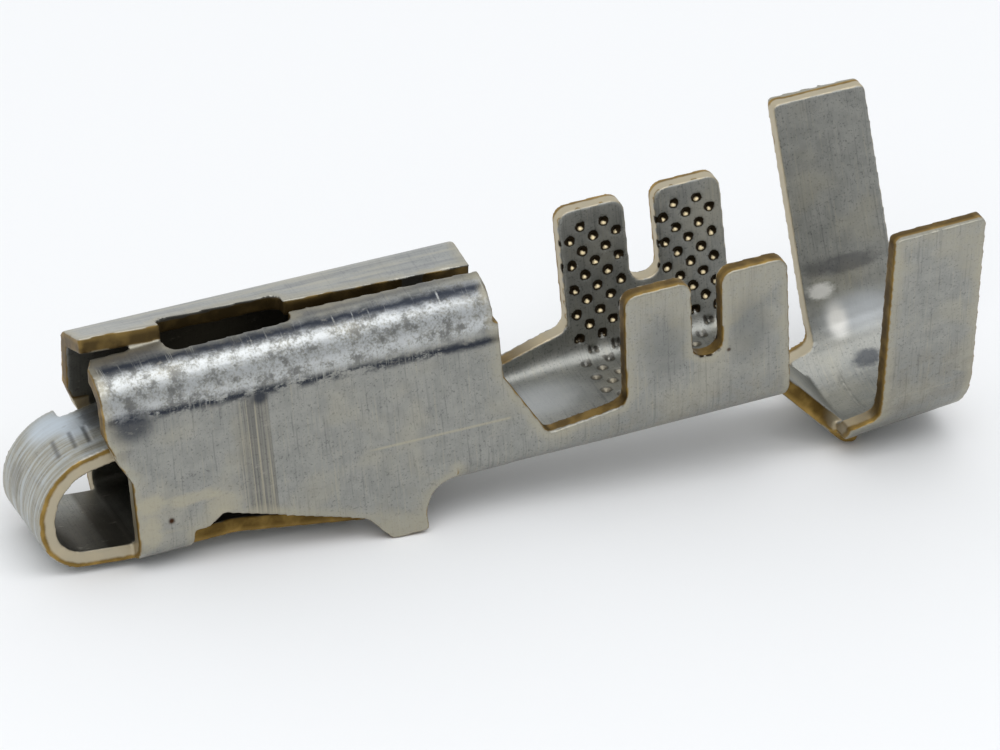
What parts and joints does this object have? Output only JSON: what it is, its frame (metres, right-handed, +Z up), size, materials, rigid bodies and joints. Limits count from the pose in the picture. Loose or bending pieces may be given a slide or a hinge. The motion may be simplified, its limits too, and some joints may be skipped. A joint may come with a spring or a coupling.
{
  "type": "female terminal",
  "caption": "Open-barrel female crimp terminal folded from tin-plated brass sheet, with a spring-tongue box, a locking lance, serrated conductor wings and insulation wings.",
  "frame": {"origin": "middle of the terminal's length and width, on the surface it rests on", "axes": "+X along the terminal from the blade mouth to the wire end, +Y towards the wall with the raised roof leaf, +Z up"},
  "size_m": [0.0219, 0.0072, 0.0068],
  "materials": {
    "tin_plate": "dull grey tin plating over brass, rubbed and specked, with bare golden-brown cut edges"
  },
  "bodies": {
    "root": {"terminal": "tin_plate"}
  },
  "joints": []
}
